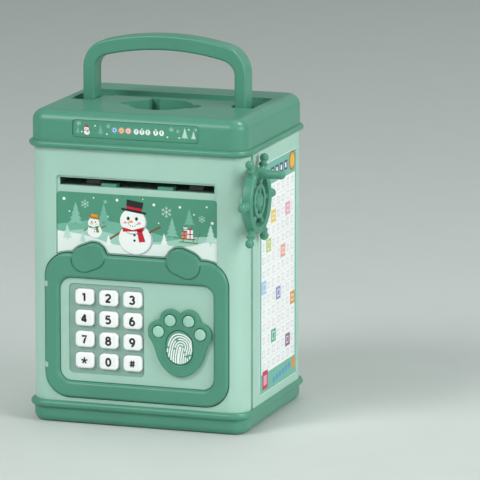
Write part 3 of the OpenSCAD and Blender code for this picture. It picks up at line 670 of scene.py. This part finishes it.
def build_finger_pad():
    """The sensor pad, with a printed ridge pattern of nested broken arches."""
    x, z = PAD[0], PAD[2]
    low, high = mm_box("finger_pad")
    front, back = low[1], high[1]
    pad, wide, step_back = pad_outline(PAD_RADIUS), pad_outline(9.9), back - 0.9
    ring = ring_maker((x, z), 96, 20)
    rings = [ring(wide, 0, y) for y in (back, step_back)]
    rings += [ring(pad, 0, y) for y in (step_back, front + 0.6)]
    rings += [ring(pad, -inset, front + drop) for inset, drop in rounding(0.6, 4)[1:]]
    rings += [ring(pad, grow, front + sink)
              for grow, sink in ((-2, 0.12), (-4, 0.3), (-6, 0.4))]
    shell = Shell()
    shell.loft(rings)
    chance = random.Random(5)
    inside, leg = pad_outline(8.1), 0.36
    for level in range(6):
        radius = 0.4 + 1.45 * level
        path = []
        for step in range(160):
            t = step / 159
            if t < leg:
                px, pz = -radius * (1 - 0.22 * (leg - t)), -11 * (leg - t) / leg
            elif t < 1 - leg:
                angle = math.pi * (1 - (t - leg) / (1 - 2 * leg))
                px, pz = radius * math.cos(angle), radius * math.sin(angle) * 1.1
            else:
                px, pz = radius * (1 - 0.22 * (t - 1 + leg)), -11 * (t - 1 + leg) / leg
            path.append((x + px + 0.8 * math.sin((pz + 2) * 0.3), z + 0.2 + pz))
        path = [spot for spot in path if inside(*spot) < -0.25]
        breaks = sorted(chance.sample(range(10, max(12, len(path) - 10)), min(2, level)))
        for first, last in zip([0] + [b + 4 for b in breaks], breaks + [len(path)]):
            if last - first > 5:
                add_ridge(shell, path[first:last], front, pad)
    shell.build("sensor_pad", [MATERIALS["pad_plastic"], INKS["white"]], "finger_button",
                ["finger_pad"], "pad_plastic")


def add_ridge(shell, path, front, pad):
    """A stroke of the printed pattern, tapered at its ends, on the pad's dished face."""
    last = len(path) - 1
    widths = [0.42 * (0.55, 0.85, 1)[min(i, last - i, 2)] for i in range(len(path))]
    fronts = [front - 0.12 + 0.4 * min(1, max(0, -pad(x, z)) / 6.0) for x, z in path]
    add_stroke(shell, path, widths, fronts, [y + 0.25 for y in fronts], slot=1)


# ---------------------------------------------------------------- handle and helm


def handle_stations(pivot):
    """(x, z, outward angle, half depth, half thickness) along the bar, from foot to foot."""
    deep, leg_half, grip_half, crown, corner, foot = 6.7, 3.8, 4.6, 160.0, 13.5, 6.65
    high = mm_corners("handle")[1]
    leg, top = high[0] - leg_half, round(high[2], 1) - grip_half
    crown_z = top - crown
    corner_z = crown_z + math.sqrt((crown - corner) ** 2 - (leg - corner) ** 2)
    turn = math.atan2(corner_z - crown_z, -(leg - corner))
    stations = []
    for step in range(13):
        drop = foot * math.cos(math.pi / 2 * step / 12)
        stations.append((-leg, pivot - drop, math.pi, math.sqrt(deep ** 2 - drop ** 2), leg_half))
    stations += [(-leg, pivot + (corner_z - pivot) * t / 6, math.pi, deep, leg_half)
                 for t in range(1, 7)]
    for step in range(1, 21):
        angle = math.pi + (turn - math.pi) * step / 20
        half = leg_half + (grip_half - leg_half) * (1 - math.cos(math.pi * step / 20)) / 2
        stations.append((-leg + corner + corner * math.cos(angle),
                         corner_z + corner * math.sin(angle), angle, deep, half))
    for step in range(1, 21):
        angle = turn + (math.pi / 2 - turn) * step / 20
        stations.append((crown * math.cos(angle), crown_z + crown * math.sin(angle), angle,
                         deep, grip_half))
    return stations + [(-x, z, math.pi - angle, depth, half)
                       for x, z, angle, depth, half in reversed(stations[:-1])]


def build_handle():
    """A rounded bar swept up one leg, over a shallow arch and down the other leg."""
    pivot = mm_middle("handle_pins")[2]
    edge_radius, pin_hole = 1.5, 2.06
    rings = []
    for x, z, angle, depth, half in handle_stations(pivot):
        out_x, out_z = math.cos(angle), math.sin(angle)
        radius = min(edge_radius, depth * 0.9)
        ring = []
        for quarter, (sn, sy) in enumerate(((1, 1), (-1, 1), (-1, -1), (1, -1))):
            for k in range(6):
                a = math.pi / 2 * (quarter + k / 5)
                n = sn * (half - radius) + radius * math.cos(a)
                y = sy * (depth - radius) + radius * math.sin(a)
                ring.append((x + out_x * n, y, z + out_z * n))
        rings.append(ring)
    shell = Shell()
    shell.loft(rings)
    piece = shell.build("carry_handle", [MATERIALS["dark_green"]], "handle", ["handle"],
                        "dark_green")
    cutter = Shell()
    cutter.lathe((-60, 0, pivot), (1, 0, 0), [(0, pin_hole), (120, pin_hole)], 32)
    carve(piece, [cutter])


def build_helm():
    """The ship's wheel: grooved rim, hub ring, domed hub, flared spokes and turned knobs."""
    low, high = mm_corners("helm_wheel")
    center, back = Vector([0] + mm_middle("helm_wheel")[1:]), high[0] - 6.2
    shell = Shell()
    shell.lathe(center, (1, 0, 0),
                [(back, 16.2), (back, 19.4), (back + 0.6, 20), (back + 4.9, 20),
                 (back + 5.8, 19.4), (back + 6.15, 18.6), (back + 5.8, 17.9), (back + 6.15, 17.2),
                 (back + 5.9, 16.3), (back + 5.2, 15.7), (back + 0.6, 15.7)], 96, looped=True)
    shell.lathe(center, (1, 0, 0),
                [(back + 0.9, 7.9), (back + 0.9, 10.1), (back + 1.4, 10.4), (back + 4.9, 10.4),
                 (back + 5.3, 9.9), (back + 5.3, 8.3), (back + 4.9, 7.8), (back + 1.4, 7.8)],
                72, looped=True)
    shell.lathe(center, (1, 0, 0),
                [(low[0], 3), (back + 0.6, 3), (back + 0.6, 5.2), (back + 4.1, 5.2),
                 (back + 5.1, 4.7), (back + 5.8, 3.7), (back + 6.1, 2.4), (back + 6.2, 0.8)], 48)
    spoke_x = back + 3.1
    for spoke in range(6):
        angle = math.tau * (spoke + 0.5) / 6
        out = Vector((0, math.sin(angle), math.cos(angle)))
        across = Vector((0, math.cos(angle), -math.sin(angle)))
        rings = []
        for along, half, rise in ((4, 2.1, 1.8), (6, 1.6, 1.6), (9, 1.35, 1.5), (12.5, 1.35, 1.5),
                                  (15, 1.7, 1.6), (16.6, 2.3, 1.8)):
            rings.append([center + out * along + across * half * math.cos(math.tau * k / 16)
                          + Vector((spoke_x + rise * math.sin(math.tau * k / 16), 0, 0))
                          for k in range(16)])
        shell.loft(rings)
        shell.lathe(center + Vector((spoke_x, 0, 0)), out,
                    [(19.2, 2.8), (20.2, 2.5), (21.0, 2.0), (22.0, 1.9), (22.4, 2.5), (22.8, 2.8),
                     (23.6, 2.8), (24.1, 2.4), (24.7, 1.75)]
                    + [(27.5 - 2.7 * math.cos(a), 2.7 * math.sin(a))
                       for a in [math.radians(d) for d in range(40, 176, 11)]], 32)
    shell.build("ships_wheel", [MATERIALS["dark_green"]], "helm", ["helm_wheel"], "dark_green")
    angle, peg_radius = math.radians(102), 17.4
    low, high = mm_box("crank_peg")
    peg = Shell()
    base, tip = center + Vector((0, peg_radius * math.cos(angle),
                                 peg_radius * math.sin(angle))), high[0]
    peg.lathe(base, (1, 0, 0),
              [(back + 5, 3.2), (back + 6.8, 3.2), (back + 7.6, 2.85), (tip - 10, 2.7),
               (tip - 6, 2.5), (tip - 4, 2.55), (tip - 2.6, 2.7), (tip - 1.4, 2.5),
               (tip - 0.6, 2.0), (tip - 0.15, 1.2), (tip, 0.4)], 40)
    peg.build("wheel_peg", [MATERIALS["dark_green"]], "helm", ["crank_peg"], "dark_green")


# ---------------------------------------------------------------- prints


class Print:
    """Flat inked shapes, drawn in u and v and laid in thin layers on a CAD film."""

    def __init__(self, place):
        self.place, self.shell, self.inks = place, Shell(), []

    def scaled(self, u, v, size):
        """The same print, drawn in units of a size about a point."""
        part = Print(lambda x, z, lift: self.place(u + size * x, v + size * z, lift))
        part.shell, part.inks = self.shell, self.inks
        return part

    def shape(self, points, ink, layer=1):
        """A filled polygon, wound anticlockwise in u and v."""
        if ink not in self.inks:
            self.inks.append(ink)
        area = sum(a[0] * b[1] - b[0] * a[1] for a, b in zip(points, points[1:] + points[:1]))
        if area < 0:
            points = points[::-1]
        corners = self.shell.ring([self.place(u, v, 0.02 + 0.02 * layer) for u, v in points])
        self.shell.face(tuple(corners), self.inks.index(ink))

    def box(self, u0, v0, u1, v1, ink, layer=1):
        self.shape([(u0, v0), (u1, v0), (u1, v1), (u0, v1)], ink, layer)

    def oval(self, u, v, ru, rv, ink, layer=1, tilt=0.0):
        points = []
        t = math.radians(tilt)
        for k in range(36):
            a = math.radians(10 * k)
            x, z = ru * math.cos(a), rv * math.sin(a)
            points.append((u + x * math.cos(t) - z * math.sin(t),
                           v + x * math.sin(t) + z * math.cos(t)))
        self.shape(points, ink, layer)

    def bar(self, u0, v0, u1, v1, width, ink, layer=1):
        length = math.hypot(u1 - u0, v1 - v0)
        nu, nv = -(v1 - v0) / length * width / 2, (u1 - u0) / length * width / 2
        self.shape([(u0 - nu, v0 - nv), (u1 - nu, v1 - nv), (u1 + nu, v1 + nv),
                    (u0 + nu, v0 + nv)], ink, layer)

    def strip(self, u0, u1, bottom, top, ink, layer=1):
        """The area between two curves, as 96 narrow columns."""
        us = [u0 + (u1 - u0) * k / 96 for k in range(97)]
        for a, b in zip(us, us[1:]):
            if min(top(a) - bottom(a), top(b) - bottom(b)) > 0.01:
                self.shape([(a, bottom(a)), (b, bottom(b)), (b, top(b)), (a, top(a))], ink, layer)

    def pine(self, u, v, height, ink, layer, trunk):
        """Stacked, drooping tiers over a short trunk."""
        tree = self.scaled(u, v, height)
        tree.box(-0.03, -0.04, 0.03, 0.12, trunk, layer)
        for tier in range(4):
            low, high, half = 0.08 + 0.2 * tier, 0.5 + 0.167 * tier, 0.34 - 0.075 * tier
            tree.shape([(-half, low), (-half * 0.5, low + 0.045), (0, low),
                        (half * 0.5, low + 0.045), (half, low), (0, high)],
                       ink, layer + tier % 2)

    def flake(self, u, v, radius, ink, layer):
        """Six arms with two twigs each."""
        star = self.scaled(u, v, radius)
        for arm in range(6):
            a = math.radians(60 * arm + 30)
            ax, az = math.cos(a), math.sin(a)
            star.bar(0, 0, ax, az, 0.13, ink, layer + arm % 3)
            for turn in (-50, 50):
                b = a + math.radians(turn)
                star.bar(0.55 * ax, 0.55 * az, 0.55 * ax + 0.36 * math.cos(b),
                         0.55 * az + 0.36 * math.sin(b), 0.11, ink, layer + 3)

    def build(self, name, film):
        self.shell.build(name, [INKS[ink] for ink in self.inks], "case", slot=film,
                         closed=False)


def draw_snowman(page, hat, scarf):
    """Two snowballs with a hat, scarf, twig arms, coal buttons and a carrot nose."""
    head = 1.75
    page.oval(0.22, 0.55, 1.16, 1.02, "shadow", 5)
    page.oval(0.15, 0.6, 1.1, 0.98, "white", 6)
    page.bar(1.0, 1.0, 1.9, 1.5, 0.12, "brown", 5)
    page.bar(-0.8, 1.0, -1.55, 0.5, 0.12, "brown", 5)
    page.oval(0.06, head - 0.05, 0.9, 0.84, "shadow", 7)
    page.oval(0, head, 0.86, 0.8, "white", 8)
    page.shape([(-0.66, head - 0.72), (0.72, head - 0.62), (0.78, head - 0.34),
                (0, head - 0.58), (-0.72, head - 0.42)], scarf, 9)
    page.shape([(0.28, head - 0.6), (0.62, head - 0.56), (0.86, head - 1.3),
                (0.44, head - 1.36)], scarf, 9)
    for side in (-0.3, 0.26):
        page.oval(side, head + 0.16, 0.1, 0.12, "black", 9)
        page.oval(side * 1.7, head - 0.12, 0.12, 0.08, "pink", 9)
    page.shape([(-0.06, head + 0.06), (0.02, head - 0.1), (-0.42, head - 0.12)], "orange", 9)
    for k in range(5):
        a = math.radians(216 + 27 * k)
        page.oval(0.36 * math.cos(a), head + 0.36 * math.sin(a) + 0.02, 0.035, 0.035,
                  "black", 9)
    for v in (0.85, 0.49):
        page.oval(0.12, v, 0.08, 0.08, "black", 7)
    tilt = math.radians(-8)

    def hat_part(corners, ink, layer):
        page.shape([(x * math.cos(tilt) - z * math.sin(tilt),
                     head + x * math.sin(tilt) + z * math.cos(tilt)) for x, z in corners],
                   ink, layer)
    hat_part([(-0.86, 0.58), (0.82, 0.58), (0.82, 0.72), (-0.86, 0.72)], hat, 9)
    hat_part([(-0.52, 0.7), (0.5, 0.7), (0.56, 1.32), (-0.58, 1.32)], hat, 9)
    hat_part([(-0.53, 0.74), (0.51, 0.74), (0.52, 0.9), (-0.545, 0.9)], scarf, 10)


def draw_sledge(page):
    """A sledge loaded with wrapped parcels."""
    page.shape([(-1.3, 0), (1.15, -0.1), (1.5, 0.25), (1.1, 0.06), (-1.3, 0.14)], "moss", 6)
    for foot, top in ((-0.8, -0.7), (0.7, 0.6)):
        page.bar(foot, 0.1, top, 0.45, 0.1, "brown", 6)
    page.box(-1.1, 0.42, 0.95, 0.56, "brown", 7)
    for middle, base, width, height, paper, bow in (
            (-0.6, 0.56, 0.72, 0.8, "orange", "plum"), (0.22, 0.56, 0.82, 1.15, "white", "red"),
            (-0.42, 1.36, 0.5, 0.5, "plum", "white")):
        left, right, top = middle - width / 2, middle + width / 2, base + height
        page.box(left, base, right, top, paper, 7)
        page.box(middle - 0.07, base, middle + 0.07, top, bow, 8)
        page.box(left, base + height * 0.45, right, base + height * 0.45 + 0.12, bow, 8)
        for side in (-1, 1):
            page.oval(middle + side * 0.15, top + 0.08, 0.16, 0.1, bow, 9, tilt=side * 30)
    page.bar(1.1, 0.3, 1.6, 1.3, 0.07, "brown", 6)


def print_front():
    """The winter scene under the bill slot, ending clear of the door's top edge.

    Heights are measured up from the sticker's top edge, so they are below zero."""
    low, high = mm_box("front_sticker")
    margin = 0.3
    left, right, top = low[0] + margin, high[0] - margin, mm_corners("front_sticker")[1][2]
    page = Print(lambda u, v, lift: (u, low[1] - lift, top + v))

    def ground(x):
        """The lowest height that stays off the door at a place across the sticker."""
        z = top - 17.8
        while z > low[2] + margin and DOOR(x, z) > 1.3:
            z -= 0.2
        return z + 0.2 - top

    def over_ground(curve):
        return lambda x: max(curve(x), ground(x))
    for layer, ink, curve in (
            (1, "far_hill", lambda x: -20.3 + 3.2 * math.sin(x / 15 + 2.9) - 0.035 * x),
            (2, "mid_hill", lambda x: -25.0 + 2.6 * math.sin(x / 12 - 2.2)),
            (3, "snow", lambda x: -30.2 + 0.0026 * (x - 2) ** 2 + 1.1 * math.sin(x / 7))):
        page.strip(left, right, ground, over_ground(curve), ink, layer)
    for u, v, height, ink in ((-39, -20.8, 15, "pine"), (-21, -18.8, 13, "far_hill"),
                              (22.5, -24.8, 13, "pine"), (47, -27.3, 12.5, "pale_pine"),
                              (-44.5, -29.3, 9.5, "pale_pine"), (33.5, -16.8, 11, "far_hill"),
                              (-34.5, -30.8, 7, "pale_pine"), (17.5, -29.8, 8, "white"),
                              (-18, -32.3, 7.5, "white")):
        page.pine(u, v, height, ink, 4, ink)
    for u, v, radius in ((-33, -6.8, 2.7), (19, -8.8, 3.5), (41.5, -11.8, 2.3),
                         (-20, -4.8, 1.3)):
        page.flake(u, v, radius, "pale_pine", 3)
    for u, v, radius in ((-46.5, -4.3, 0.95), (-27.5, -2.8, 0.5), (-12.5, -3.3, 0.9),
                         (11, -4.8, 0.9), (27.5, -5.3, 0.8), (44.5, -4.3, 0.6),
                         (48, -13.8, 0.9), (-18.5, -13.8, 0.6), (36.5, -9.3, 0.5),
                         (-43, -11.8, 0.5), (4, -1.8, 0.4), (14, -15.8, 0.5)):
        page.oval(u, v, radius, radius, "white", 3)
    draw_snowman(page.scaled(-2.5, -32.0, 9.4), "black", "red")
    draw_snowman(page.scaled(-27.5, -25.6, 4.2), "orange", "moss")
    draw_sledge(page.scaled(33, -26.6, 4.6))
    page.build("front_print", "printed_film")


def print_lid_label():
    """A row of coins and winter motifs in the recess on the lid's front."""
    low, high = mm_box("lid_label")
    middle = (low[2] + high[2]) / 2
    page = Print(lambda u, v, lift: (u, low[1] - lift, v))
    for u, ink in ((-13.6, "blue"), (-9.2, "orange"), (-4.8, "salmon")):
        page.oval(u, middle, 2.1, 2.1, "far_hill", 2)
        page.oval(u, middle, 1.8, 1.8, ink, 3)
        page.oval(u, middle, 1.2, 1.2, "white", 4)
        page.oval(u, middle, 0.8, 0.8, ink, 5)
    for k, u in enumerate((0.2, 3.9, 7.6, 12.6, 16.3)):
        page.oval(u, middle - 0.2, 1.55, 1.7, "white", 3)
        page.box(u - 0.3, middle - 1.0, u + 0.3, middle + 0.7, "far_hill", 4)
        page.oval(u, middle + 0.5, 0.5, 0.5, "far_hill", 5)
        if k % 2:
            page.oval(u, middle + 1.5, 0.6, 0.6, "white", 3)
    for u, height in ((-22.5, 6), (31, 7), (36.5, 5.5), (-37, 4.5)):
        page.pine(u, middle - 3.2, height, "far_hill" if u < 0 else "pale_pine", 2, "far_hill")
    draw_snowman(page.scaled(-31.5, middle - 3, 1.7), "red", "red")
    for u, dv, radius in ((-36.5, 3, 1.6), (-17.5, 2.2, 1.3), (22.5, 2.3, 1.6), (26.5, 1.5, 1.2),
                          (38, 3, 1.2)):
        page.flake(u, middle + dv, radius, "pale_pine", 2)
    for u, dv in ((-34.5, -2), (-26, 2), (-18.5, -2.6), (20, -2.4), (27.5, -2.5), (33.5, 2.8)):
        page.oval(u, middle + dv, 0.5, 0.5, "white", 2)
    page.build("lid_print", "printed_film")


def print_side(node, name, outward):
    """A savings chart: header, ruled rows of outlined boxes, and scattered coloured cells."""
    low, high = mm_box(node)
    face = high[0] if outward > 0 else low[0]
    width, height = high[1] - low[1], high[2] - low[2]

    def place(u, v, lift):
        y = low[1] + u if outward > 0 else high[1] - u
        return (face + outward * lift, y, low[2] + v)
    page = Print(place)
    margin, edge, foot, head = 0.3, 3.2, height * 0.085, height * 0.1
    page.box(margin, margin, edge, height - margin, "teal")
    page.box(width - edge, margin, width - margin, height - margin, "teal")
    page.box(edge, margin, width - edge, foot, "teal")
    page.box(edge, height - head, width - edge, height - margin, "teal")
    rows, columns, rule, hair, frame_width = 14, 7, 0.12, 0.08, 0.7
    row_height = (height - head - foot) / rows
    column_width = (width - 2 * edge) / columns
    cells = {(2, 2): "yellow", (5, 2): "pink", (1, 4): "lime", (4, 5): "salmon",
             (0, 7): "pale_blue", (3, 8): "violet", (6, 9): "orange", (2, 11): "sea_green",
             (5, 12): "plum"}
    chance = random.Random(11)
    for row in range(rows):
        v0 = height - head - (row + 1) * row_height
        page.box(edge, v0 - rule, width - edge, v0 + rule, "line", 2)
        for column in range(columns):
            u0 = edge + column * column_width
            ink = cells.get((column, row))
            if column:
                page.box(u0 - hair, v0, u0 + hair, v0 + row_height, "line", 2)
            if ink:
                page.box(u0 + margin, v0 + margin, u0 + column_width - margin,
                         v0 + row_height - margin, ink, 3)
            half = column_width * chance.uniform(0.2, 0.3)
            u = u0 + column_width / 2 + chance.uniform(-0.4, 0.4)
            v, rise = v0 + row_height * 0.5, row_height * chance.uniform(0.22, 0.32)
            page.box(u - half, v - rise, u + half, v + rise, "white" if ink else "glyph", 4)
            page.box(u - half + frame_width, v - rise + frame_width, u + half - frame_width,
                     v + rise - frame_width, ink or "white", 5)
    for k in range(4):
        u = width * 0.3 + k * width * 0.12
        page.box(u, height - head * 0.72, u + width * 0.085, height - head * 0.3, "navy", 3)
        page.box(u + width * 0.02, height - head * 0.62, u + width * 0.06, height - head * 0.4,
                 "white", 4)
    coin = (width * 0.88, height - head * 0.46)
    page.oval(coin[0], coin[1], head * 0.42, head * 0.42, "brown", 3)
    page.oval(coin[0], coin[1], head * 0.37, head * 0.37, "orange", 4)
    page.oval(coin[0], coin[1], head * 0.24, head * 0.24, "yellow", 5)
    page.box(coin[0] - 0.8, coin[1] - head * 0.16, coin[0] + 0.8, coin[1] + head * 0.16,
             "orange", 6)
    page.box(edge + 2, foot * 0.2, edge + 2 + column_width * 1.1, foot + row_height * 0.2,
             "crimson", 3)
    page.box(edge + 4, foot * 0.4, edge + column_width * 1.1, foot * 0.9, "pink", 4)
    for k in range(6):
        u = width * (0.38 + 0.085 * k)
        page.oval(u, foot * (0.38 + 0.05 * k), width * 0.028, foot * 0.16, "blue", 3)
    page.oval(width * 0.92, foot * 0.62, foot * 0.3, foot * 0.3, "orange", 3)
    page.build(name, "printed_chart")


build_door_frame()
build_keys()
build_paw()
build_finger_pad()
build_handle()
build_helm()
print_front()
print_lid_label()
print_side("side_label_right", "chart_right", 1)
print_side("side_label_left", "chart_left", -1)


# ---------------------------------------------------------------- studio


def add_area_light(name, place, aim, size, power, gloss_only=False):
    """A round soft light; a gloss-only one shows in highlights and doesn't brighten."""
    data = bpy.data.lights.new(name, "AREA")
    data.shape = "DISK"
    data.size = size
    data.energy = power
    light = bpy.data.objects.new(name, data)
    light.location = place
    light.visible_diffuse = not gloss_only
    light.rotation_euler = (Vector(aim) - Vector(place)).to_track_quat("-Z", "Y").to_euler()
    bpy.context.scene.collection.objects.link(light)


def add_studio():
    world = bpy.data.worlds.new("studio")
    world.use_nodes = True
    background = world.node_tree.nodes["Background"]
    background.inputs["Color"].default_value = (0.84, 0.94, 0.9, 1)
    background.inputs["Strength"].default_value = 0.34
    bpy.context.scene.world = world
    # name, place, aim, size in metres and power in watts
    add_area_light("key", (-0.9, -1.5, 1.5), (0, 0, 0.1), 1.0, 24.5)
    add_area_light("fill", (1.6, -0.5, 0.8), (0, 0, 0.1), 1.2, 20.5)
    add_area_light("top", (0.1, 0.3, 1.7), (0, 0, 0.1), 0.9, 3.2)
    add_area_light("glint", (0.56, 0.12, 1.12), (0.05, -0.04, 0.19), 0.12, 9, True)
    add_area_light("back", (0.35, 1.7, 0.85), (0, 0, 0.15), 1.5, 1.4)
    bpy.context.scene.view_settings.view_transform = "Standard"


def add_floor():
    bpy.ops.mesh.primitive_grid_add(x_subdivisions=8, y_subdivisions=8, size=8)
    floor = bpy.context.object
    floor.name = "floor"
    floor.data.materials.append(plastic("floor_paper", srgb(212, 218, 215), roughness=0.6,
                                        mottle=0.01))


add_studio()
add_floor()
